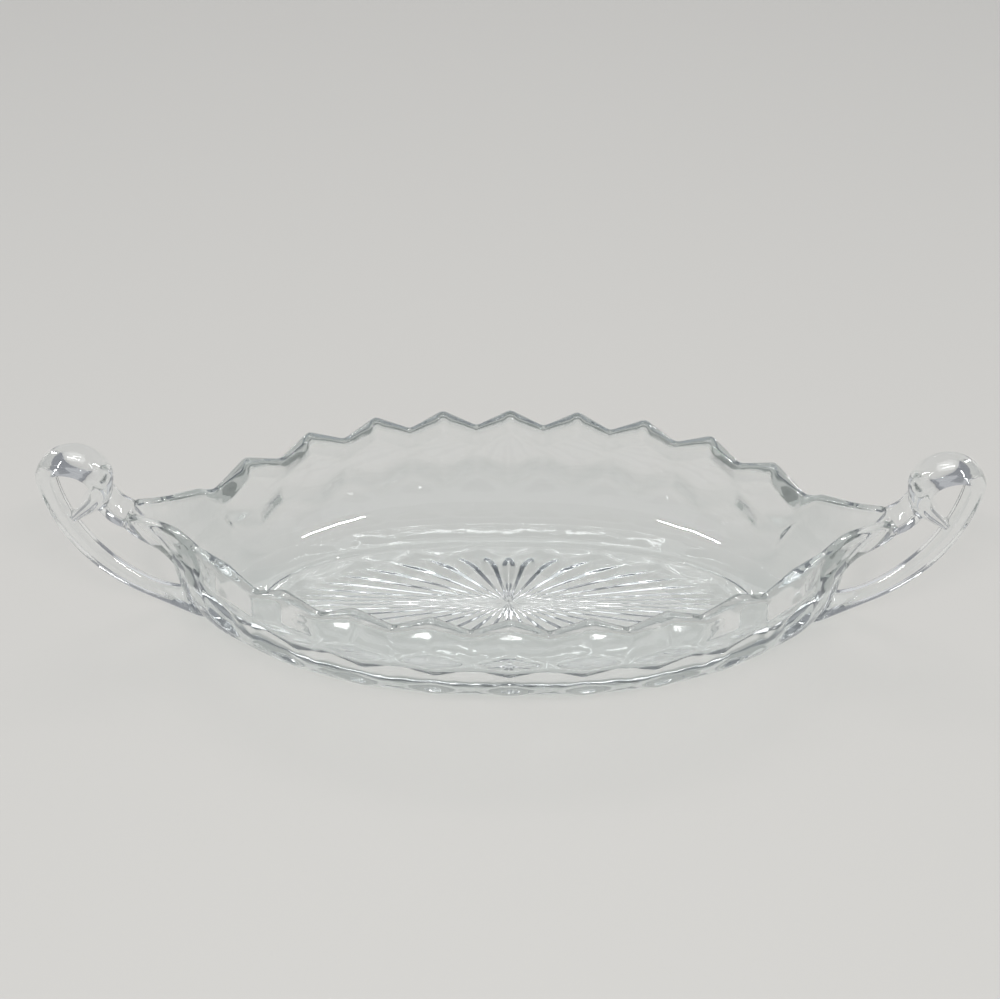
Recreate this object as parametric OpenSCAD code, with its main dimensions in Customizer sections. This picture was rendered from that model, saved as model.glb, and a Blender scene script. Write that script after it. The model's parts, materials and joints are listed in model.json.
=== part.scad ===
// Relish tray of pressed clear glass: a boat-shaped dish with a sawtooth rim,
// stacked-block relief outside, moulded rays under the floor and a scroll
// handle at each end. Lengths in millimetres, X along the tray, Z up,
// origin in the middle of the resting face.

/* [Bowl] */
// Length of the bowl between its end walls, under the lips
bowl_l = 163; // [148:1:176]
// Width of the bowl between opposite tooth peaks
bowl_w = 74; // [66:1:82]
// Height of the middle tooth peaks above the table
rim_h = 34.5; // [32:0.5:38]
// Thickness of the wall behind a tooth peak
wall_t = 3.5; // [3:0.1:4.5]
// Thickness of the floor
floor_t = 4.3; // [3.6:0.1:5.5]
// Height at which the outer wall stands upright
foot_h = 15.7; // [13:0.1:17.5]
// Height of the inner curve between wall and floor
cove_h = 14.7; // [12:0.1:16]

/* [Teeth and blocks] */
// Distance between two neighbouring tooth peaks, along the rim
tooth_pitch = 17.2; // [16.2:0.1:18]
// Drop from a tooth peak to the valley beside it
tooth_h = 4.2; // [3.4:0.1:4.6]
// Depth of one step of the block relief
block_step = 1.3; // [0.5:0.1:1.6]
// How much lower the outermost peaks stand than the middle one
rim_drop = 1.6; // [0:0.1:2.4]

/* [Foot and floor] */
// How far the flat foot stops short of each end of the bowl
foot_in = 4.5; // [2:0.5:8]
// Width of the flat foot
foot_w = 42.6; // [39:0.1:48]
// How far the flat floor inside stops short of each end of the bowl
floor_in = 21; // [17:0.5:24]
// Width of the flat floor inside
floor_w = 36.8; // [35:0.1:39]

/* [Rays] */
// Number of rays under the floor
ray_count = 40; // [24:4:48]
// Length of plain floor between the star of rays and each end of the floor
star_in = 7; // [5.5:0.5:15]
// Width of the star of rays
star_w = 32.4; // [24:0.2:33.4]
// Depth of the rays that run to the long sides; narrower ones are shallower
ray_depth = 1.5; // [0.8:0.1:2]
// Degrees by which the rays crowd towards the middles of the sides and ends
ray_gather = 4; // [0:0.5:6]

/* [Lips] */
// How far each lip tip stands out past the end of the bowl
lip_out = 9; // [7.5:0.5:10]
// Height of the lip edge near its tip
lip_h = 33.1; // [31.5:0.1:34]
// Width of a lip across its tip
lip_w = 7.8; // [6:0.1:9]

/* [Handles] */
// How far each scroll's centre stands out past the lip tip
scroll_out = 9.1; // [8:0.1:11]
// Height of the scroll centre above the table
scroll_z = 42.2; // [41:0.1:44]
// Outer radius of the scroll
scroll_r = 8.4; // [7.8:0.1:9]
// Thickness of the scroll ribbon at its middle
ribbon_t = 4; // [3:0.1:4.6]
// Width of the ribbon over the top of the scroll
ribbon_w = 9.4; // [7:0.1:11]
// Width of the ribbon where it starts, at the top of the stem
ribbon_in_w = 5.4; // [4.4:0.1:7]
// Thickness of the ribbon at its sides
ribbon_edge_t = 1.8; // [0.8:0.1:2]
// Thickness of the stem at the bowl
stem_t = 3.4; // [3:0.1:4.4]
// Width of the stem at the bowl
stem_w = 3.6; // [3:0.1:5]
// Width of the stem's root, where it spreads into the bowl
root_w = 10; // [6:0.2:12]
// How far the root runs on into the bowl, to be cut flush with its surface
root_run = 9; // [6:0.5:12]
// Thickness of the bridge between lip and scroll
bridge_t = 3.2; // [2.4:0.1:3.8]
// Width of the bridge between lip and scroll
bridge_w = 8; // [6:0.1:9]

/* [Hidden] */
GLASS = [0.86, 0.9, 0.91, 0.55];

// Lengths along the tray, each from the one before
foot_l = bowl_l - 2 * foot_in;
floor_l = bowl_l - 2 * floor_in;
star_l = floor_l - 2 * star_in;
lips_l = bowl_l + 2 * lip_out;
scroll_span = lips_l + 2 * scroll_out;

// Half-width of a pointed oval at distance x from its middle: full at the
// middle, closing to nothing at half_l. The shares set how full the sides are.
side_share = 2.6;
bluff_share = 0.8;
function oval_y(x, half_l, half_w, bluff = bluff_share) =
    half_w * pow(max(0, 1 - pow(x / half_l, side_share)), bluff);

// Outline of the bowl at the tooth peaks, and the unit normal that points out
function bowl_y(x) = oval_y(x, bowl_l / 2, bowl_w / 2);
probe_share = 0.0025;
probe = probe_share * bowl_l;
function slope(x) = (bowl_y(x + probe) - bowl_y(abs(x - probe))) / (2 * probe);
function out_normal(x) = let (s = x < probe ? 0 : slope(x), n = sqrt(1 + s * s)) [-s / n, 1 / n];

// Walks along the bowl outline from x until the given length is used up
walk_step_share = 0.025;
walk_step = walk_step_share * tooth_pitch;
function walk(x, left) =
    left < walk_step / 2 ? x : walk(x + walk_step / sqrt(1 + pow(slope(x), 2)), left - walk_step);

// Columns of one quarter, from the middle of a long side to the middle of the
// end: half a tooth apart to the last tooth, then the columns of the lip.
last_tooth = 8;
last_column = 16;
lip_columns = last_column - last_tooth;
tooth_x = [for (j = [0:last_tooth]) walk(0, j * tooth_pitch / 2)];
function odd(j) = j > last_tooth || j % 2 == 1;

// Past the last tooth, columns below the rim stand at these shares of the way
// from the last tooth's column to the end.
end_shares = [0.3, 0.48, 0.63, 0.75, 0.85, 0.93, 0.975, 1];
function pick(shares, j) = shares[j - last_tooth - 1];
function between(a, b, t) = a + (b - a) * t;
function column_share(j, body) =
    j <= last_tooth ? body * 2 * tooth_x[j] / bowl_l
    : between(column_share(last_tooth, body), 1, pick(end_shares, j));

// Lip edge past the last tooth: how far out to the lip tip, how far in to
// the half-width there, and how high against the lip height.
lip_out_shares = [0.283, 0.386, 0.503, 0.643, 0.806, 0.925, 0.98, 1];
lip_in_shares = [0.5, 0.646, 0.789, 0.9, 0.985, 1.02, 1];
lip_rise_shares = [0.905, 0.948, 0.976, 0.985, 0.996, 1, 0.99, 0.955];
// Groove inside the lip: how far out, and how much of the width is left
groove_out_shares = [0.28, 0.387, 0.504, 0.635, 0.798, 0.872, 0.9, 0.911];
groove_half_shares = [0.557, 0.443, 0.3, 0.195, 0.11, 0.07, 0.04, 0];

// Outer plan points of column j, without relief, at the rim, the waist and
// the foot. The waist is where the wall starts to curve in.
batter_share = 0.985;
foot_body_share = 0.893;
function lip_half(j) =
    j == last_column ? 0 : between(bowl_y(tooth_x[last_tooth]), lip_w / 2, pick(lip_in_shares, j));
function rim_plan(j) = j <= last_tooth
    ? [tooth_x[j], bowl_y(tooth_x[j])]
    : [between(tooth_x[last_tooth], lips_l / 2, pick(lip_out_shares, j)), lip_half(j)];
function waist_plan(j) =
    let (x = column_share(j, 1) * bowl_l / 2)
    [x, batter_share * bowl_y(x)];
function foot_plan(j) =
    let (share = column_share(j, foot_body_share))
    [share * foot_l / 2, oval_y(share, 1, foot_w / 2)];

// Rim height of column j. Peaks and valleys alternate and sink slowly at
// first, then faster, towards the last tooth. The lip has its own heights.
drop_power = 3;
function rim_z(j) = j <= last_tooth
    ? rim_h - (odd(j) ? tooth_h : 0) - rim_drop * pow(j / last_tooth, drop_power)
    : lip_h * pick(lip_rise_shares, j);

// Rows of the relief run down every column, two tooth heights apart, and a
// last row closes on the foot. Block corners lie at one of three depths,
// which repeat in a cycle of three down the wall. The lip has rows of its own.
row_count = 5;
toe_share = 0.45;
depth_cycle = [0, -1, 1];
lip_row_shares = [1, 0.83, 0.56, 0.27, 0.08];
function row_z(j, r) = r == 0 ? rim_z(j)
    : j > last_tooth + 1 ? lip_h * lip_row_shares[r]
    : r < row_count - 1 ? rim_h - (2 * r + (odd(j) ? 1 : 0)) * tooth_h
    : toe_share * (rim_h - (2 * row_count - 3) * tooth_h);
function depth(j, r) = j > last_tooth + 1 || r >= row_count - 1 ? 0
    : block_step * depth_cycle[(2 * r + (odd(j) ? 1 : 0)) % 3];

// Point of column j at height z on the smooth outer form, and the outward
// normal there: a quarter round up to the waist, then a straight wall, or
// under the lip an S-shaped flare.
function s_curve(t) = t * t * (3 - 2 * t);
function lean(z) = max(0, 1 - z / foot_h);
function outer_form(j, z) =
    let (a = foot_plan(j), b = waist_plan(j), c = rim_plan(j),
         up = max(0, z - foot_h) / (rim_z(j) - foot_h),
         t = j <= last_tooth ? up : s_curve(up),
         p = z < foot_h ? a + (b - a) * sqrt(1 - pow(lean(z), 2)) : b + (c - b) * t)
    [p.x, p.y, z];
function outer_normal(j, z) =
    let (n = out_normal(min(rim_plan(j).x, waist_plan(last_tooth + 1).x)), s = lean(z))
    [n.x * sqrt(1 - s * s), n.y * sqrt(1 - s * s), -s];
function outer_point(j, r) =
    let (z = row_z(j, r))
    outer_form(j, z) + depth(j, r) * outer_normal(j, z);

// Inner surface: the rim edge, the top of the cove, then a quarter round
// down to the floor. The wall is measured square to the outline.
cove_rows = 7;
floor_bluff_share = 0.6;
end_wall_share = 1.5;
inner_l = bowl_l - 2 * end_wall_share * wall_t;
inner_w = bowl_w - 2 * wall_t;
function inner_body(j) = rim_plan(j) - wall_t * out_normal(rim_plan(j).x);
function inner_rim_plan(j) =
    j <= last_tooth ? inner_body(j)
    : let (last = inner_body(last_tooth))
      [between(last.x, lips_l / 2, pick(groove_out_shares, j)), last.y * pick(groove_half_shares, j)];
function cove_plan(j) =
    j <= last_tooth ? inner_body(j)
    : let (x = between(inner_body(last_tooth).x, inner_l / 2, pick(end_shares, j)))
      [x, oval_y(x, inner_l / 2, inner_w / 2)];
function floor_plan(j) =
    let (share = column_share(j, 1))
    [share * floor_l / 2, oval_y(share, 1, floor_w / 2, floor_bluff_share)];
function inner_point(j, r) =
    r == 0 ? [inner_rim_plan(j).x, inner_rim_plan(j).y, rim_z(j)]
    : let (a = 90 * (r - 1) / cove_rows, f = floor_plan(j), c = cove_plan(j), p = f + (c - f) * cos(a))
      [p.x, p.y, floor_t + cove_h * (1 - sin(a))];

// The full ring of columns, counter-clockwise from the right tip: column
// number and the side of the tray it is on.
ring = [
    for (j = [last_column:-1:0]) [j, 1, 1],
    for (j = [1:last_column]) [j, -1, 1],
    for (j = [last_column - 1:-1:0]) [j, -1, -1],
    for (j = [1:last_column - 1]) [j, 1, -1]
];
ring_count = len(ring);
function placed(c, p) = [c[1] * p.x, c[2] * p.y, p.z];
function on_ground(p) = [p.x, p.y, 0];

// Four rings of points bound the bowl: the outside down to the foot, the
// inside down to the floor, and the upright seat of the bottom plate.
outside = concat(
    [for (r = [0:row_count - 1]) [for (c = ring) placed(c, outer_point(c[0], r))]],
    [[for (c = ring) placed(c, on_ground(outer_form(c[0], 0)))]]
);
inside = [for (r = [0:cove_rows + 1]) [for (c = ring) placed(c, inner_point(c[0], r))]];
seat_ring = [for (c = ring) placed(c, on_ground(concat(floor_plan(c[0]), [0])))];
plate_outline = [for (p = seat_ring) [p.x, p.y]];

// Two triangles between columns k and k+1 of rings a and b. The diagonal
// leaves from an odd column, so that it follows an edge of the blocks.
function strip(a, b, n, tilt) = [
    for (k = [0:n - 1])
        let (m = (k + 1) % n, p = a * n + k, q = a * n + m, s = b * n + k, t = b * n + m)
        each (tilt[k] ? [[p, q, t], [p, t, s]] : [[p, q, s], [q, t, s]])
];
function diagonals() = [for (c = ring) odd(c[0])];

// Closed bowl: every ring in turn from the rim down the outside, across the
// foot, up the seat, and up the inside back to the rim.
module bowl() {
    loop = concat(outside, [seat_ring], [for (r = [len(inside) - 1:-1:0]) inside[r]]);
    count = len(loop);
    color(GLASS)
        polyhedron(
            points = [for (one = loop) each one],
            faces = [for (i = [0:count - 1]) each strip(i, (i + 1) % count, ring_count, diagonals())]
        );
}

// Solid outer form of the bowl, used to end the handles on its surface.
// Its top is closed straight across from one long side to the other.
module bowl_form() {
    count = len(outside);
    top = [for (k = [1:ring_count / 2 - 1])
        let (m = ring_count - k)
        each (k == 1 ? [[0, m, k]] : [[k - 1, m + 1, m], [k - 1, m, k]])];
    end = [[ring_count / 2 - 1, ring_count / 2 + 1, ring_count / 2]];
    bottom = [[for (k = [0:ring_count - 1]) (count - 1) * ring_count + k]];
    polyhedron(
        points = [for (one = outside) each one],
        faces = concat(
            [for (i = [0:count - 2]) each strip(i, i + 1, ring_count, diagonals())],
            top, end, bottom
        )
    );
}

// Star of rays, cut into the underside. Its roof is a fan of ridges and
// grooves: odd spokes are deep, even ones shallow, and each ray ends in a
// point on the oval.
crest_share = 0.3;
hub_share = 0.08;
tip_in_share = 0.84;
roof_shares = [hub_share, 0.4, 0.8, 1];
roof_rise_shares = [0.35, 0.8, 1, 0];
over_share = 0.4;
cut_over = over_share * ray_depth;
function spoke_angle(a) = a - ray_gather * sin(4 * a);
function spoke_room(a) = star_w / norm([star_l * cos(a), star_w * sin(a)]);
function spoke_point(i, n) =
    let (ring_share = roof_shares[n], a = spoke_angle(180 * i / ray_count), deep = i % 2 == 0,
         reach = n == len(roof_shares) - 1 && !deep ? tip_in_share : ring_share,
         rise = ray_depth * roof_rise_shares[n] * (deep ? 1 : crest_share) * spoke_room(a))
    [reach * star_l / 2 * cos(a), reach * star_w / 2 * sin(a), rise];
module ray_cutter() {
    spokes = 2 * ray_count;
    rings = len(roof_shares);
    roof = [for (n = [0:rings - 1]) each [for (i = [0:spokes - 1]) spoke_point(i, n)]];
    skirt = [for (i = [0:spokes - 1]) let (p = spoke_point(i, rings - 1)) [p.x, p.y, -cut_over]];
    hub = [0, 0, ray_depth * roof_rise_shares[0] * crest_share * star_w / star_l];
    polyhedron(
        points = concat(roof, skirt, [hub]),
        faces = concat(
            [for (i = [0:spokes - 1]) [(i + 1) % spokes, i, len(roof) + spokes]],
            [for (n = [0:rings - 1])
                each strip(n, n + 1, spokes, [for (i = [0:spokes - 1]) i % 2 == 0])],
            [[for (i = [0:spokes - 1]) len(roof) + i]]
        )
    );
}

// Flat bottom plate inside the bowl's seat, with the rays underneath
module rayed_base() {
    color(GLASS)
        difference() {
            linear_extrude(floor_t) polygon(plate_outline);
            ray_cutter();
        }
}

// Cross-section of stem and ribbon: u points away from the scroll's centre,
// v across the tray. flat goes from 0, a rod with four soft corners, to 1, a
// ribbon with a flat inner side, thin sides and a convex outer side.
section_count = 14;
rod_share = 0.65;
box_share = 0.35;
function section_point(i, t, w, edge_t, flat) =
    let (a = 360 * i / section_count, side = t / 2 + (min(edge_t, t / 2) - t / 2) * flat,
         seam = side - t / 2, soft = between(rod_share, 1, flat),
         face = between(rod_share, box_share, flat), c = cos(a), s = sin(a))
    [c >= 0 ? seam + (t / 2 - seam) * pow(c, soft) : seam - side * pow(-c, face),
     w / 2 * sign(s) * pow(abs(s), soft)];

// Solid carried along a path in the XZ plane. Each station of the path gives
// the point, the direction of u, thickness, width and how flat it is.
module carried(stations) {
    n = section_count;
    last = len(stations) - 1;
    function ring_at(s) = [
        for (i = [0:n - 1])
            let (q = section_point(i, s[2], s[3], ribbon_edge_t, s[4]))
            [s[0].x + q.x * s[1].x, q.y, s[0].y + q.x * s[1].y]
    ];
    polyhedron(
        points = [for (s = stations) each ring_at(s)],
        faces = concat(
            [for (i = [0:last - 1]) each strip(i + 1, i, n, [for (k = [1:n]) true])],
            [[for (k = [0:n - 1]) k], [for (k = [n - 1:-1:0]) last * n + k]]
        )
    );
}

// Path of the handle: a root inside the bowl's end, a stem out and up to the
// scroll, the scroll itself, and a straight tongue that thins to a tip.
scroll_x = scroll_span / 2;
path_r = scroll_r - ribbon_t / 2;
stem_steps = 16;
curl_steps = 20;
tongue_steps = 4;
curl_angle = 225;
// Angle round the scroll at which the ribbon has its full width
wide_angle = 110;
// Length of the tongue against the scroll's radius, so that it ends on the
// stem, and what is left at its tip
tongue_share = 1.32;
tip_share = 0.3;
// Where the rod starts to turn into a ribbon, how late it widens, and how
// far out the wide root reaches
flat_from_share = 0.45;
widen_power = 1.5;
root_share = 0.3;
// Axis of the stem where it leaves the bowl, low but clear of the table
stem_in_share = 0.33;
stem_up_share = 0.62;
stem_a = [foot_l / 2 - stem_in_share * stem_t, stem_up_share * stem_t];
stem_d = [scroll_x + path_r, scroll_z];
// Pull points that shape the stem, as shares of its reach and its rise
pull_low_shares = [0.517, 0.05];
pull_high_share = 0.54;
stem_b = [for (i = [0:1]) between(stem_a[i], stem_d[i], pull_low_shares[i])];
stem_c = [stem_d.x, between(stem_d.y, stem_a.y, pull_high_share)];
stem_curve = [stem_a, stem_b, stem_c, stem_d];
function bezier(p, t) =
    len(p) == 1 ? p[0]
    : bezier([for (i = [0:len(p) - 2]) between(p[i], p[i + 1], t)], t);
function unit(v) = v / norm(v);
function right_of(v) = [v.y, -v.x];
function stem_width(t) =
    between(stem_w, ribbon_in_w, pow(t, widen_power))
    + (root_w - stem_w) * pow(max(0, 1 - t / root_share), 2);
stem = [
    for (i = [0:stem_steps - 1])
        let (t = i / stem_steps, p = bezier(stem_curve, t),
             u = unit(right_of(bezier(stem_curve, t + 1 / stem_steps) - p)),
             flat = max(0, (t - flat_from_share) / (1 - flat_from_share)))
        [p, u, between(stem_t, ribbon_t, t), stem_width(t), flat]
];
root = [[stem_a - [root_run, 0], stem[0][1], stem_t, root_w, 0]];
curl = [
    for (i = [0:curl_steps])
        let (a = curl_angle * i / curl_steps, u = [cos(a), sin(a)])
        [[scroll_x, scroll_z] + path_r * u, u, ribbon_t,
         between(ribbon_in_w, ribbon_w, s_curve(min(1, a / wide_angle))), 1]
];
curl_end = curl[curl_steps][0];
curl_out = curl[curl_steps][1];
// The tongue starts as a slimmer plug inside the end of the scroll
plug_share = 0.9;
plug = [curl[curl_steps - 1][0], curl[curl_steps - 1][1], plug_share * ribbon_t, plug_share * ribbon_w, 1];
tongue = concat([plug], [
    for (i = [0:tongue_steps])
        let (t = i / tongue_steps, slim = between(1, tip_share, t))
        [curl_end - tongue_share * scroll_r * t * right_of(curl_out), curl_out,
         ribbon_t * slim, ribbon_w * slim, 1]
]);

// Bridge from the lip tip up to the lower inner side of the scroll. Its top
// starts level with the lip's two corners.
bridge_steps = 6;
bridge_angle = 210;
lip_tip_z = lip_h * lip_rise_shares[lip_columns - 2];
bridge_c = [scroll_x, scroll_z] + path_r * [cos(bridge_angle), sin(bridge_angle)];
bridge_a = [lips_l / 2 - bridge_t, lip_tip_z - bridge_t / 2];
bridge_bow_share = 0.25;
bridge_b = [bridge_c.x - bridge_t / 2, bridge_a.y + bridge_bow_share * bridge_t];
bridge = [
    for (i = [0:bridge_steps])
        let (t = i / bridge_steps, curve = [bridge_a, bridge_b, bridge_c],
             u = unit(right_of(between(bridge_b, bridge_c, t) - between(bridge_a, bridge_b, t))))
        [bezier(curve, t), u, bridge_t, bridge_w, 0]
];

// One handle on the right, cut so that it ends flush on the bowl
module handle() {
    difference() {
        union() {
            carried(concat(root, stem, curl));
            carried(tongue);
            carried(bridge);
        }
        bowl_form();
    }
}
module right_handle() {
    color(GLASS) handle();
}
module left_handle() {
    color(GLASS) mirror([1, 0, 0]) handle();
}

bowl();
rayed_base();
left_handle();
right_handle();
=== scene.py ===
"""Relish tray of pressed clear glass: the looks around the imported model.

The real tray is one pressing, so it is built here as one glass skin without
inner faces. Lengths are worked out in millimetres and turned into metres as
each mesh is made. X runs along the tray, Z up, origin under its middle.
"""

import json
import math

import bpy
import numpy as np
from mathutils import Matrix

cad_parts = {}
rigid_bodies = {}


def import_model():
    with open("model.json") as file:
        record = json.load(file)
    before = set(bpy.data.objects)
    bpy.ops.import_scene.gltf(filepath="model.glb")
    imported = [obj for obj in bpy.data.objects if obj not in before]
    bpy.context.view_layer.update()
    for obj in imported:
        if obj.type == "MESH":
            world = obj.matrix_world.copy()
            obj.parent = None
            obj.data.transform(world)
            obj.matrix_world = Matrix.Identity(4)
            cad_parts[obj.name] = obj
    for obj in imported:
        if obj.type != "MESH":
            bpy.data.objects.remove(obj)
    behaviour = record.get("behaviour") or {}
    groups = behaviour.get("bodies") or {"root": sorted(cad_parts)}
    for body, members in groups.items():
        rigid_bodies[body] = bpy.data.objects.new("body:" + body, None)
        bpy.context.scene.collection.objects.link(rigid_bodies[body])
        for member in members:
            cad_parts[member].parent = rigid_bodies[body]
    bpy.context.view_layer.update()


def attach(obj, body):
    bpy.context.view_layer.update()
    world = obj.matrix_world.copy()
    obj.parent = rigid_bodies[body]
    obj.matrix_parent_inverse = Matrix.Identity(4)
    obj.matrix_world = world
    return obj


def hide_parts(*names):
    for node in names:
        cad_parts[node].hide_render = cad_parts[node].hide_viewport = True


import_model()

# ---------------------------------------------------------------------------
# Bowl outside. The boat-shaped bowl is pressed in a block mould that leaves
# stacked six-sided blocks on the outside. The top row of blocks makes the
# sawtooth rim, and at each end the wall runs out into a pointed lip.
# ---------------------------------------------------------------------------
bowl_length, bowl_width, rim_height, wall = 163, 74, 34.5, 3.5
tooth_pitch, tooth_drop, rim_sag = 17.2, 4.2, 1.6
block_step = 1.3
waist_height, foot_length, foot_width = 15.7, 154, 42.6
foot_reach, wall_batter = 0.893, 0.985
lips_length, lip_height, lip_width = 181, 33.1, 7.8
last_tooth, last_column = 8, 16
cuts = 10


def oval(x, half_length, half_width, bluff=0.8, pointed=2.6):
    """Half-width of a pointed oval at x: half_width times (1 less the share x / half_length
    to the power pointed), to the power bluff."""
    share = np.clip(np.abs(x) / half_length, 0, 1)
    return half_width * (1 - share**pointed) ** bluff


def outline_normal(x):
    """Unit normal of the rim outline at x: (minus the slope, 1) over its length, with the
    slope from a central difference."""
    probe = 0.0025 * bowl_length
    ahead = oval(x + probe, bowl_length / 2, bowl_width / 2)
    behind = oval(x - probe, bowl_length / 2, bowl_width / 2)
    slope = (ahead - behind) / (2 * probe)
    return np.stack([-slope, np.ones_like(slope)], -1) / np.hypot(slope, 1)[:, None]


# Columns of one quarter: half a tooth apart along the outline up to the last
# tooth, then eight more round the lip to its tip. The outline is walked in
# small steps to nearly its end, where it turns across the tray.
walk_end, walk_steps = 0.49 * bowl_length, 4000
walk_x = np.linspace(0, walk_end, walk_steps)
walk_y = oval(walk_x, bowl_length / 2, bowl_width / 2)
walked = np.append(0, np.cumsum(np.hypot(np.diff(walk_x), np.diff(walk_y))))
tooth_x = np.interp(np.arange(last_tooth + 1) * tooth_pitch / 2, walked, walk_x)
tooth_y = oval(tooth_x, bowl_length / 2, bowl_width / 2)
column = np.arange(last_column + 1)
is_odd = (column > last_tooth) | (column % 2 == 1)
end_shares = np.array([0.3, 0.48, 0.63, 0.75, 0.85, 0.93, 0.975, 1])


def body_share(reach):
    """Shares of the half-length at which the columns stand below the rim: the teeth's own
    times reach, then on to the end by end_shares."""
    own = reach * tooth_x / (bowl_length / 2)
    return np.append(own, own[-1] + (1 - own[-1]) * end_shares)


# How the lip's rim runs from the last tooth to the tip: along the tray, in
# towards the middle and in height, each as a share of the whole way.
lip_out = np.array([0.283, 0.386, 0.503, 0.643, 0.806, 0.925, 0.98, 1])
lip_in = np.array([0.5, 0.646, 0.789, 0.9, 0.985, 1.02, 1])
lip_rise = np.array([0.905, 0.948, 0.976, 0.985, 0.996, 1, 0.99, 0.955])
rim_x = np.append(tooth_x, tooth_x[-1] + (lips_length / 2 - tooth_x[-1]) * lip_out)
rim_y = np.concatenate([tooth_y, tooth_y[-1] + (lip_width / 2 - tooth_y[-1]) * lip_in, [0]])
waist_x = body_share(1) * bowl_length / 2
waist_y = wall_batter * oval(waist_x, bowl_length / 2, bowl_width / 2)
foot_x = body_share(foot_reach) * foot_length / 2
foot_y = oval(foot_x, foot_length / 2, foot_width / 2)
tooth = column[: last_tooth + 1]
tooth_top = rim_height - tooth_drop * is_odd[tooth] - rim_sag * (tooth / last_tooth) ** 3
rim_z = np.append(tooth_top, lip_height * lip_rise)

# The ring of columns, counter-clockwise from the right tip, and the fine ring
# with ten columns for each of them
ring = np.concatenate([column[::-1], column[1:], column[-2::-1], column[1:-1]])
side_x = np.repeat([1, -1, 1], [last_column + 1, 2 * last_column, last_column - 1])
side_y = np.repeat([1, -1], [2 * last_column + 1, 2 * last_column - 1])
place = np.arange(len(ring) * cuts) / cuts
here = place.astype(int)
after = (here + 1) % len(ring)
across = (place % 1)[:, None]


def ringed(x, y, z=0):
    """Points of the coarse ring from a quarter's x, y and z."""
    z = np.broadcast_to(np.asarray(z, float), x.shape)
    return np.stack([side_x * x[ring], side_y * y[ring], z[ring]], -1)


def swept(points):
    """Fine ring through the coarse ring's points: a cubic through each point and its
    neighbours (Catmull-Rom)."""
    a, b, c, d = (points[(here + k) % len(ring)] for k in (-1, 0, 1, 2))
    t = across
    return b + t * (c - a + t * (2 * a - 5 * b + 4 * c - d + t * (3 * (b - c) + d - a))) / 2


def smooth_step(t):
    """0 below 0, 1 above 1, and 3 t squared less 2 t cubed between."""
    t = np.clip(t, 0, 1)
    return t * t * (3 - 2 * t)


def round_below(z):
    """How far under the waist z lies, from 0 at the waist to 1 at the foot."""
    return np.clip(1 - z / waist_height, 0, 1)


def outer_form(foot, waist, rim, z, flared):
    """Plan point at height z: a quarter round from foot to waist, then a straight line to
    the rim, or where flared an S."""
    up = np.clip((z - waist_height) / (rim[..., 2] - waist_height), 0, 1)
    up = up + (smooth_step(up) - up) * flared
    low = foot + (waist - foot) * np.sqrt(1 - round_below(z) ** 2)[..., None]
    high = waist + (rim - waist) * up[..., None]
    point = np.where((z < waist_height)[..., None], low, high)
    point[..., 2] = z
    return point


# Corners of the blocks: rows two tooth heights apart, at one of three depths
# in turn, so that each raised corner stands among six others. They move along
# the wall's own facing, which tips down in the round below the waist.
row_count, toe_share, depth_cycle = 5, 0.45, np.array([0, -1, 1])
lip_row_shares = np.array([1, 0.83, 0.56, 0.27, 0.08])
row_cuts = [10, 10, 10, 8, 4]
row = np.arange(row_count)[:, None]
odd_ring = is_odd[ring]
on_lip = ring > last_tooth + 1
corner_z = rim_height - (2 * row + odd_ring) * tooth_drop
toe_z = toe_share * (rim_height - (2 * row_count - 3) * tooth_drop)
corner_z = np.where(row == row_count - 1, toe_z, corner_z)
corner_z = np.where(on_lip, lip_height * lip_row_shares[:, None], corner_z)
corner_z = np.where(row == 0, rim_z[ring], corner_z)
corner_depth = block_step * depth_cycle[(2 * row + odd_ring) % 3]
corner_depth = np.where(on_lip | (row == row_count - 1), 0, corner_depth)
facing_x = np.minimum(rim_x, waist_x[last_tooth + 1])
facing = outline_normal(facing_x)[ring] * np.stack([side_x, side_y], -1)
tipped = round_below(corner_z)[..., None]
facing = np.concatenate([facing * np.sqrt(1 - tipped**2), -tipped], -1)
foot, waist = ringed(foot_x, foot_y), ringed(waist_x, waist_y)
rim = ringed(rim_x, rim_y, rim_z)
corners = outer_form(foot, waist, rim, corner_z, ring > last_tooth)
corners = np.concatenate([corners + corner_depth[..., None] * facing, [foot]])


def facets(corners, row_cuts):
    """Fine grid on the two flat triangles of each coarse square, whose corners are mixed by
    the shares across and down it. Odd columns have the other diagonal."""
    last = len(row_cuts) - 1
    above = np.append(np.repeat(np.arange(last + 1), row_cuts), last)[:, None]
    down = np.append(np.concatenate([np.arange(n) / n for n in row_cuts]), 1)[:, None, None]
    a, b = corners[above, here], corners[above, after]
    c, d = corners[above + 1, here], corners[above + 1, after]
    falling_right = a + (b - a) * across + (d - b) * down
    falling_left = a + (d - c) * across + (c - a) * down
    falling = np.where(across >= down, falling_right, falling_left)
    upper = a + (b - a) * across + (c - a) * down
    lower = d + (c - d) * (1 - across) + (b - d) * (1 - down)
    rising = np.where(across + down <= 1, upper, lower)
    return np.where(odd_ring[here][:, None], falling, rising)


blocks = facets(corners, row_cuts)

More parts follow.
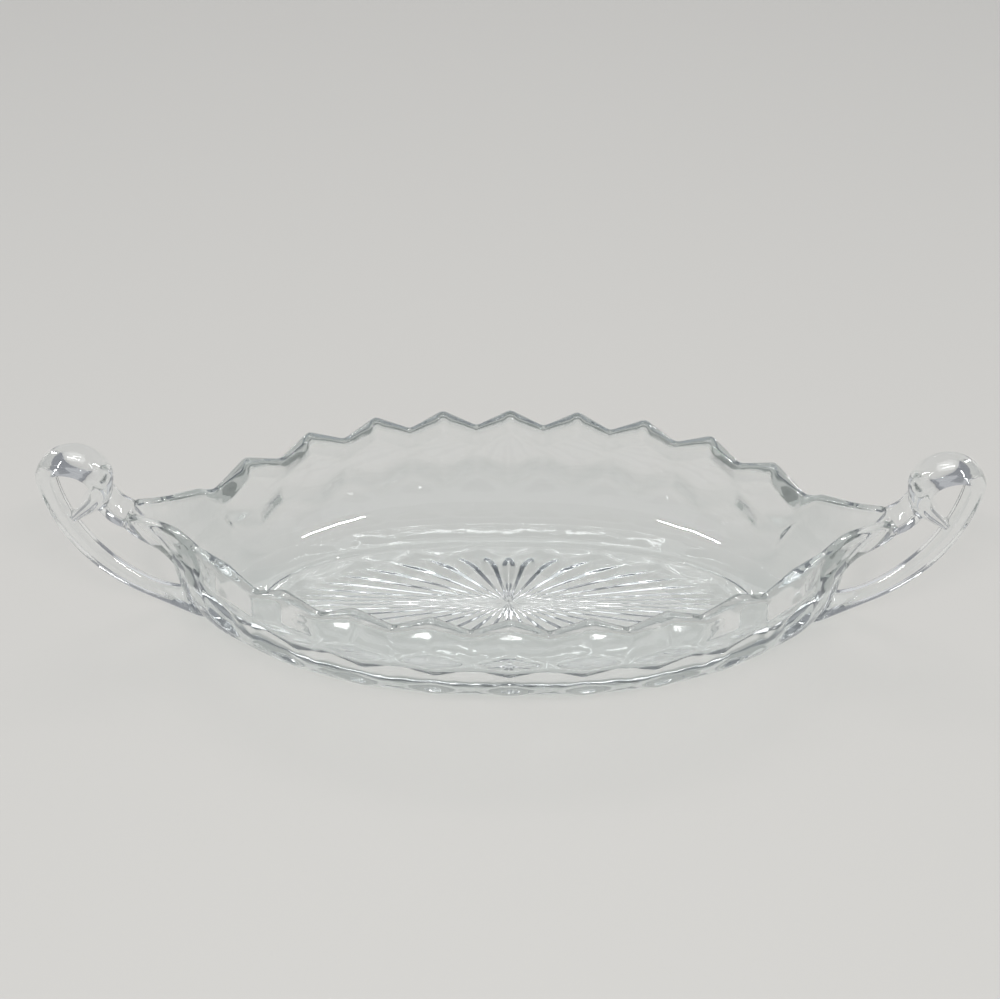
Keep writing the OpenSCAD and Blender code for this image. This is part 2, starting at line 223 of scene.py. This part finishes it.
# The lip is smooth: the same form on a fine ring, with rows of its own. It
# takes over from the blocks just past the last tooth.
lip_start, lip_blend = last_tooth + 0.6, 1.4
row_place = np.concatenate([i + np.arange(n) / n for i, n in enumerate(row_cuts)])
lip_z = lip_height * np.interp(
    np.append(row_place, row_count), np.arange(row_count + 1), np.append(lip_row_shares, 0)
)
rim_fine = swept(rim)
edge_blend = np.clip(1 - np.arange(len(blocks)) / row_cuts[0], 0, 1)[:, None]
lip_z = lip_z[:, None] + (rim_fine[:, 2] - lip_height) * edge_blend
lip = outer_form(swept(foot), swept(waist), rim_fine, lip_z, 1.0)
toward_tip = ring[here] + (ring[after] - ring[here]) * across[:, 0]
is_lip = smooth_step((toward_tip - lip_start) / lip_blend)[:, None]
outside = blocks + (lip - blocks) * is_lip

# ---------------------------------------------------------------------------
# Bowl inside. The plunger leaves a smooth wall that turns through a wide cove
# into the flat floor, which is sunk by a small crisp step all round. Under
# each lip the wall draws out into a narrowing groove.
# ---------------------------------------------------------------------------
floor_thickness, cove_height, floor_length, floor_width = 4.3, 14.7, 121, 36.8
end_wall, floor_bluff, sink, sink_width, lip_ease = 5.25, 0.6, 0.35, 0.35, 0.6
groove_out = np.array([0.28, 0.387, 0.504, 0.635, 0.798, 0.872, 0.9, 0.911])
groove_half = np.array([0.557, 0.443, 0.3, 0.195, 0.11, 0.07, 0.04, 0])
inner_rim = np.stack([tooth_x, tooth_y], -1) - wall * outline_normal(tooth_x)
inner_x, inner_y = inner_rim.T
edge_x = np.append(inner_x, inner_x[-1] + (lips_length / 2 - inner_x[-1]) * groove_out)
edge_y = np.append(inner_y, inner_y[-1] * groove_half)
inner_half = bowl_length / 2 - end_wall
cove_x = np.append(inner_x, inner_x[-1] + (inner_half - inner_x[-1]) * end_shares)
cove_y = oval(cove_x[last_tooth + 1 :], inner_half, bowl_width / 2 - wall)
cove_y = np.append(inner_y, cove_y)
floor_x = body_share(1) * floor_length / 2
floor_y = oval(body_share(1), 1, floor_width / 2, floor_bluff)
edge = swept(ringed(edge_x, edge_y))
edge[:, 2] = outside[0, :, 2]
cove, floor_ring = swept(ringed(cove_x, cove_y)), swept(ringed(floor_x, floor_y))
cove[:, 2] = floor_thickness + cove_height
land = np.linspace(0, 1, 6)[1:, None, None]
rim_land = outside[0] + (edge - outside[0]) * land
drop = np.linspace(0, 1, 7)[1:, None, None]
upper_wall = edge + (cove - edge) * (drop + (smooth_step(drop) - drop) * is_lip * lip_ease)
cove_turn = np.radians(np.linspace(0, 90, 17)[1:, None, None])
cove_wall = floor_ring + (cove - floor_ring) * np.cos(cove_turn)
cove_wall[..., 2] = floor_thickness + cove_height * (1 - np.sin(cove_turn[..., 0]))
along_ring = np.roll(floor_ring, -1, 0) - np.roll(floor_ring, 1, 0)
inward = np.stack([-along_ring[:, 1], along_ring[:, 0], 0 * along_ring[:, 0]], -1)
inward /= np.hypot(along_ring[:, 0], along_ring[:, 1])[:, None]
sink_shares = np.array([0, 0.25, 0.5, 0.75, 1])
floor_step = floor_ring + inward * sink_width * sink_shares[:, None, None]
floor_step[..., 2] = floor_thickness - sink * smooth_step(sink_shares)[:, None]
floor = floor_step[-1] * np.array([0.96, 0.8, 0.6, 0.4, 0.2])[:, None, None]
floor[..., 2] = floor_thickness - sink

# ---------------------------------------------------------------------------
# Rays. Under the floor the mould presses a star of V-grooves that run from
# the middle to points on an oval, inside the flat land the tray stands on.
# ---------------------------------------------------------------------------
star_length, star_width, ray_count, ray_depth = 107, 32.4, 40, 1.5
gather, tip_run, leaf_width, leaf_bulge = 4, 0.27, 0.92, 1.8
hub_share, pole_share = 0.3, 0.8
reach = np.concatenate([np.linspace(0.04, 0.72, 10), np.linspace(0.75, 1, 13)])[:, None]
ring_turn = 2 * math.pi * np.arange(len(place)) / len(place)
spoke = ring_turn - math.radians(gather) * np.sin(4 * ring_turn)
from_groove = np.abs((ring_turn * ray_count / math.pi + 1) % 2 - 1)
room = star_width / np.hypot(star_length * np.cos(spoke), star_width * np.sin(spoke))
to_tip = np.clip((reach - 1 + tip_run) / tip_run, 0, 1)
leaf = leaf_width - leaf_width * to_tip**leaf_bulge
ray_rise = ray_depth * room * (hub_share + (1 - hub_share) * reach)
star = np.stack(
    [
        reach * star_length / 2 * np.cos(spoke),
        reach * star_width / 2 * np.sin(spoke),
        ray_rise * np.clip(leaf - from_groove, 0, None),
    ],
    -1,
)
foot_land = star[-1] + (outside[-1] - star[-1]) * np.array([1, 2])[:, None, None] / 3


def softened(grid):
    """The grid with each point at half its own place and a quarter of both neighbours',
    along the rings and then across them."""
    grid = grid / 2 + (np.roll(grid, 1, 1) + np.roll(grid, -1, 1)) / 4
    between = grid[1:-1] / 2 + (grid[:-2] + grid[2:]) / 4
    return np.concatenate([grid[:1], between, grid[-1:]])


def closed_mesh(name, grid, poles):
    """Mesh over a grid whose rows are closed rings: squares between rings, and fans to a
    pole at both ends."""
    rows, count = grid.shape[:2]
    at = np.arange(count)
    beside = (at + 1) % count
    first = np.arange(rows - 1)[:, None] * count
    squares = [first + at, first + beside, first + count + beside, first + count + at]
    start_pole, end_pole = np.full(count, rows * count), np.full(count, rows * count + 1)
    last = (rows - 1) * count
    start_fan = np.stack([start_pole, beside, at], -1).tolist()
    end_fan = np.stack([end_pole, last + at, last + beside], -1).tolist()
    mesh = bpy.data.meshes.new(name)
    points = np.concatenate([grid.reshape(-1, 3), poles]) * 0.001
    faces = np.stack(squares, -1).reshape(-1, 4).tolist() + start_fan + end_fan
    mesh.from_pydata(points, [], faces)
    mesh.shade_smooth()
    mesh.update()
    piece = bpy.data.objects.new(name, mesh)
    bpy.context.scene.collection.objects.link(piece)
    return piece


outer_rows = [star, foot_land, outside[::-1], rim_land, upper_wall, cove_wall[:-1]]
skin = np.concatenate([softened(np.concatenate(outer_rows)), floor_step, floor])
skin[..., 2] = np.maximum(skin[..., 2], 0)
under_middle = [0, 0, ray_depth * hub_share * pole_share]
floor_middle = [0, 0, floor_thickness - sink]
glass = closed_mesh("dish_glass", skin, [under_middle, floor_middle])

# ---------------------------------------------------------------------------
# Scroll handles. Each is pressed in one with the bowl: a stem leaves the foot
# of the end wall, widens into a ribbon, curls over inwards and ends in a
# straight pointed tongue. A short neck joins the curl to the tip of the lip.
# ---------------------------------------------------------------------------
scroll_span, scroll_height, scroll_radius = 199.2, 42.2, 8.4
ribbon_thick, ribbon_wide, ribbon_start, ribbon_edge, wide_turn = 4, 9.4, 5.4, 1.8, 110
stem_thick, stem_wide, root_wide, root_run = 3.4, 3.6, 10, 9
root_fade, widen_power, flat_from = 0.3, 1.5, 0.45
neck_thick, neck_wide, neck_turn, neck_from = 3.2, 8, 210, 0.16
curl_turn, tongue_length, tongue_taper = 225, 11.1, 0.7
rod_power, back_rise, front_fall, crowding = 0.4, 0.35, 0.2, 0.4
centre = np.array([scroll_span / 2, scroll_height])
path_radius = scroll_radius - ribbon_thick / 2


def section(thick, wide, flat, count=56):
    """Cross-section of stem and ribbon: a rod with four soft corners where flat is 0, and a
    ribbon with a convex back, upright sides and a flat inner face where it is 1. Each side
    is a power of the cosine or sine of the turn, and points crowd near the sides."""
    turn = 2 * math.pi * np.arange(count) / count
    turn = turn + crowding * np.sin(2 * turn)
    side = thick / 2 + (np.minimum(ribbon_edge, thick / 2) - thick / 2) * flat
    seam = side - thick / 2
    back, front = np.clip(np.cos(turn), 0, 1), np.clip(-np.cos(turn), 0, 1)
    soft = rod_power + back_rise * flat
    out = seam + (thick / 2 - seam) * back**soft - side * front ** (rod_power - front_fall * flat)
    return out, wide / 2 * np.sign(np.sin(turn)) * np.abs(np.sin(turn)) ** soft


def carried(name, path, out, thick, wide, flat, mirror):
    """Solid carried along a path in the upright middle plane: each station's section stands
    across the path, its back towards out."""
    back, along = section(thick[:, None], wide[:, None], flat[:, None])
    x = path[:, :1] + back * out[:, :1]
    z = path[:, 1:] + back * out[:, 1:]
    grid = np.stack([mirror * x, mirror * along, z], -1)
    ends = [[mirror * path[i, 0], 0, path[i, 1]] for i in (0, -1)]
    return closed_mesh(name, grid, ends)


def bezier(points, t):
    """Point and direction of a Bezier curve at the shares t: neighbours are mixed again and
    again until one is left."""
    points = [np.asarray(p, float) + 0 * t[:, None] for p in points]
    while len(points) > 2:
        points = [a + (b - a) * t[:, None] for a, b in zip(points, points[1:])]
    direction = points[1] - points[0]
    return points[0] + direction * t[:, None], direction / np.hypot(*direction.T)[:, None]


def right_of(direction):
    """The direction turned a quarter to the right."""
    return np.stack([direction[:, 1], -direction[:, 0]], -1)


# Stem: from the foot of the end wall out and up to the outer side of the
# scroll, after a root that lies inside the bowl's glass
stem_in, stem_up, low_pull, high_pull = 0.33, 0.62, [0.517, 0.05], 0.54
start = np.array([foot_length / 2 - stem_in * stem_thick, stem_up * stem_thick])
end = centre + [path_radius, 0]
pulls = [start + (end - start) * low_pull, [end[0], end[1] + (start[1] - end[1]) * high_pull]]
share = np.linspace(0, 1, 50)
stem, heading = bezier([start, *pulls, end], share)
stem_width = stem_wide + (ribbon_start - stem_wide) * share**widen_power
stem_width += (root_wide - stem_wide) * np.clip(1 - share / root_fade, 0, 1) ** 2
stem_thickness = stem_thick + (ribbon_thick - stem_thick) * share
stem_flat = np.clip((share - flat_from) / (1 - flat_from), 0, 1)
root = start - [[root_run, 0], [root_run / 2, 0]]

# Curl: round the scroll's middle, at full width past wide_turn
angle = np.radians(np.linspace(0, curl_turn, 73)[1:])
curl_out = np.stack([np.cos(angle), np.sin(angle)], -1)
curl = centre + path_radius * curl_out
widened = smooth_step(angle / math.radians(wide_turn))
curl_width = ribbon_start + (ribbon_wide - ribbon_start) * widened
even = np.ones(len(angle))
path = np.concatenate([root, stem, curl])
out = np.concatenate([right_of(heading)[[0, 0]], right_of(heading), curl_out])
thick = np.concatenate([[stem_thick] * 2, stem_thickness, ribbon_thick * even])
wide = np.concatenate([[root_wide] * 2, stem_width, curl_width])
flat = np.concatenate([[0, 0], stem_flat, even])

# Tongue: straight on from the curl's end, down to the stem
run = np.linspace(0, 1, 17)
tongue_out = np.repeat(curl_out[-1:], len(run), 0)
tongue = curl[-1] - tongue_length * run[:, None] * right_of(tongue_out)
slim = 1 - tongue_taper * run
tongue_form = ribbon_thick * slim, ribbon_wide * slim, np.ones(len(run))

# Neck: from inside the lip's tip up to the lower inner side of the curl
neck_start = [lips_length / 2 - neck_thick, lip_height * lip_rise[-2] - neck_thick / 2]
neck_angle = math.radians(neck_turn)
neck_end = centre + path_radius * np.array([math.cos(neck_angle), math.sin(neck_angle)])
neck_bow = [neck_end[0] - neck_thick / 2, neck_start[1] + neck_thick / 4]
neck_share = np.linspace(neck_from, 1, 24)
neck, neck_heading = bezier([neck_start, neck_bow, neck_end], neck_share)
neck_even = np.ones(len(neck_share))
neck_form = neck_thick * neck_even, neck_wide * neck_even, 0 * neck_even

handles = bpy.data.collections.new("handles")
for side in (-1, 1):
    scroll = carried("scroll", path, out, thick, wide, flat, side)
    tip = carried("tongue", tongue, tongue_out, *tongue_form, side)
    bridge = carried("neck", neck, right_of(neck_heading), *neck_form, side)
    for part in (scroll, tip, bridge):
        bpy.context.scene.collection.objects.unlink(part)
        handles.objects.link(part)


# ---------------------------------------------------------------------------
# One pressing. Bowl and handles are the same glass, so they are joined into
# one skin, and the joins are drawn out into small hollow fillets.
# ---------------------------------------------------------------------------
def read_points(mesh):
    """The mesh's points, in metres."""
    numbers = np.empty(3 * len(mesh.vertices), np.float32)
    mesh.vertices.foreach_get("co", numbers)
    return numbers.reshape(-1, 3)


known = np.concatenate([read_points(part.data) for part in [glass, *handles.objects]])
join = glass.modifiers.new("join", "BOOLEAN")
join.operation, join.operand_type, join.solver = "UNION", "COLLECTION", "MANIFOLD"
join.collection = handles
joined = glass.evaluated_get(bpy.context.evaluated_depsgraph_get())
shaped = bpy.data.meshes.new_from_object(joined)
glass.modifiers.clear()
glass.data = shaped
for part in list(handles.objects):
    bpy.data.objects.remove(part)
bpy.data.collections.remove(handles)

# Points that are on none of the parts lie on the joins. The points there and
# the next rows round them are drawn towards the middle of their neighbours,
# each row less than the one before.
fillet_rows, row_fade, fillet_passes, pull = 4, 0.22, 10, 0.5
spots = read_points(shaped)
in_microns = np.round(np.concatenate([known, spots]) * 1e6)
which = np.unique(in_microns, axis=0, return_inverse=True)[1].reshape(-1)
near = (~np.isin(which[len(known) :], which[: len(known)])).astype(float)
edges = np.empty(2 * len(shaped.edges), np.int32)
shaped.edges.foreach_get("vertices", edges)
edges = edges.reshape(-1, 2)
links = np.concatenate([edges, edges[:, ::-1]])
around = np.bincount(links[:, 0], minlength=len(spots))
for _ in range(fillet_rows):
    reached = np.zeros(len(spots))
    np.maximum.at(reached, links[:, 0], near[links[:, 1]] - row_fade)
    near = np.maximum(near, reached)
for _ in range(fillet_passes):
    sums = [np.bincount(links[:, 0], spots[links[:, 1], axis], len(spots)) for axis in range(3)]
    middle = np.stack(sums, -1) / around[:, None]
    spots = spots + (middle - spots) * pull * near[:, None]
shaped.vertices.foreach_set("co", spots.astype(np.float32).reshape(-1))
shaped.update()
shaped.shade_smooth()
shaped.name = "dish_glass"


class Wire:
    """A socket value of one material. Sums and products of wires and numbers, and tests
    against a number, add the Math nodes they need."""

    def __init__(self, finish, socket):
        self.finish, self.socket = finish, socket

    def _math(self, operation, other):
        return self.finish.node("Math", {"operation": operation}, {0: self, 1: other})

    def __add__(self, other):
        return self._math("ADD", other)

    def __mul__(self, other):
        return self._math("MULTIPLY", other)

    def __gt__(self, other):
        return self._math("GREATER_THAN", other)

    def __lt__(self, other):
        return self._math("LESS_THAN", other)

    __radd__, __rmul__ = __add__, __mul__


class Finish:
    """One material: node() adds a node of a type with its settings, then the values or
    wires of its sockets."""

    def __init__(self, name):
        self.material = bpy.data.materials.new(name)
        self.material.use_nodes = True
        self.tree = self.material.node_tree
        self.tree.nodes.clear()

    def node(self, kind, settings=(), sockets=(), output=0):
        node = self.tree.nodes.new("ShaderNode" + kind)
        for key, value in dict(settings).items():
            setattr(node, key, value)
        for key, value in dict(sockets).items():
            if isinstance(value, Wire):
                self.tree.links.new(value.socket, node.inputs[key])
            else:
                node.inputs[key].default_value = value
        return Wire(self, node.outputs[output]) if node.outputs else None


# Clear soda glass, fire-polished: faint ripples from the mould, a touch of
# dullness here and there, and a cool tint that only shows through long paths.
clear = Finish("clear_glass")
where = clear.node("TexCoord", output="Object")
ripple = clear.node(
    "TexNoise", {}, {"Vector": where, "Scale": 160.0, "Detail": 2.0, "Roughness": 0.45}
)
haze = clear.node("TexNoise", {}, {"Vector": where, "Scale": 55.0, "Detail": 3.0})
bump = clear.node("Bump", {}, {"Height": ripple, "Strength": 0.12, "Distance": 0.0006})
polished = clear.node(
    "BsdfPrincipled",
    {},
    {
        "Base Color": (0.985, 0.995, 0.995, 1),
        "Roughness": 0.008 + haze * 0.02,
        "IOR": 1.51,
        "Transmission Weight": 1.0,
        "Normal": bump,
    },
)
tint = clear.node("VolumeAbsorption", {}, {"Color": (0.8, 0.92, 0.91, 1), "Density": 6.0})

# A ray that has been mirrored inside the glass more than twice goes straight
# on, dimmed as its many further turns would dim it.
turned = clear.node("LightPath", output="Glossy Depth")
dimmed = clear.node("BsdfTransparent", {}, {"Color": (0.78, 0.79, 0.79, 1)})
body = clear.node("MixShader", {}, {0: turned > 2.5, 1: polished, 2: dimmed})

# Lamp rays, and rays that pale surfaces send out, pass with a light tint, so
# the table under the tray is lit through it.
lamp_ray = clear.node("LightPath", output="Is Shadow Ray")
soft_ray = clear.node("LightPath", output="Is Diffuse Ray")
let_by = clear.node("BsdfTransparent", {}, {"Color": (0.91, 0.92, 0.92, 1)})
seen = clear.node("MixShader", {}, {0: lamp_ray + soft_ray, 1: body, 2: let_by})
clear.node("OutputMaterial", {}, {"Surface": seen, "Volume": tint})
glass.data.materials.clear()
glass.data.materials.append(clear.material)
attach(glass, "root")
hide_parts("bowl", "rayed_base", "left_handle", "right_handle")

# ---------------------------------------------------------------------------
# Floor, light and camera. A pale table top under soft studio light, seen from
# the height and distance of the photograph.
# ---------------------------------------------------------------------------
table = Finish("pale_table")
tone = table.node("BsdfPrincipled", {}, {"Base Color": (0.5, 0.49, 0.465, 1), "Roughness": 0.6})
table.node("OutputMaterial", {}, {"Surface": tone})
half_top, under_tray = 3, -0.0003
top_corners = [
    (x * half_top, y * half_top, under_tray) for x, y in ((-1, -1), (1, -1), (1, 1), (-1, 1))
]
top = bpy.data.meshes.new("table_top")
top.from_pydata(top_corners, [], [(0, 1, 2, 3)])
floor_piece = bpy.data.objects.new("table_top", top)
top.materials.append(table.material)
bpy.context.scene.collection.objects.link(floor_piece)

world = bpy.data.worlds.new("studio")
world.use_nodes = True
background = world.node_tree.nodes["Background"].inputs
background["Color"].default_value = (0.25, 0.258, 0.279, 1)
background["Strength"].default_value = 1.0
bpy.context.scene.world = world


def stood(holder, right, up, back, place):
    """Links the object and stands it at place, its axes along right, up and back."""
    bpy.context.scene.collection.objects.link(holder)
    axes = np.stack([right, up, back], -1)
    holder.matrix_world = Matrix([[*line, p] for line, p in zip(axes, place)] + [[0, 0, 0, 1]])


def soft_box(name, power, size, place, aim=(0, 0, 0.02)):
    """Rectangular lamp at place that faces aim."""
    lamp = bpy.data.lights.new(name, "AREA")
    lamp.shape, lamp.size, lamp.size_y, lamp.energy = "RECTANGLE", size[0], size[1], power
    back = np.subtract(place, aim) / np.linalg.norm(np.subtract(place, aim))
    right = np.cross([0, 0.01, 1], back)
    right /= np.linalg.norm(right)
    stood(bpy.data.objects.new(name, lamp), right, np.cross(back, right), back, place)


# Long thin lamps draw the line highlights. Weak broad panels lighten what the
# rim, the scrolls and the lower wall mirror from in front and behind.
soft_box("left_light", 7, (0.32, 0.03), (-0.46, -0.65, 1.0))
soft_box("right_light", 7, (0.32, 0.03), (0.46, -0.65, 1.0))
soft_box("back_light", 3, (0.7, 0.04), (0, 0.7, 1.1))
soft_box("back_panel", 4, (1.6, 0.6), (0, 0.9, 1.3))
soft_box("front_panel", 9, (4, 1.6), (0, -2.2, 1.1))
soft_box("back_low", 1.5, (4, 0.7), (0, 2.2, 0.7))
soft_box("left_strip", 1.5, (0.03, 0.5), (-1.0, 1.0, 0.4))
soft_box("right_strip", 1.5, (0.03, 0.5), (1.0, 1.0, 0.4))

camera = bpy.data.cameras.new("camera")
camera.lens, camera.sensor_width = 44.68, 36
viewer = bpy.data.objects.new("camera", camera)
yaw, pitch, roll = (math.radians(v) for v in (0.24, 42.9, 0.71))
flat_ahead = np.array([math.sin(yaw), math.cos(yaw), 0]) * math.cos(pitch)
ahead = flat_ahead - [0, 0, math.sin(pitch)]
level = np.array([math.cos(yaw), -math.sin(yaw), 0])
upright = np.cross(level, ahead)
right = level * math.cos(roll) + upright * math.sin(roll)
up = upright * math.cos(roll) - level * math.sin(roll)
stood(viewer, right, up, -ahead, (-0.00337, -0.2099, 0.2323))
bpy.context.scene.camera = viewer
bpy.context.scene.view_settings.view_transform = "Standard"
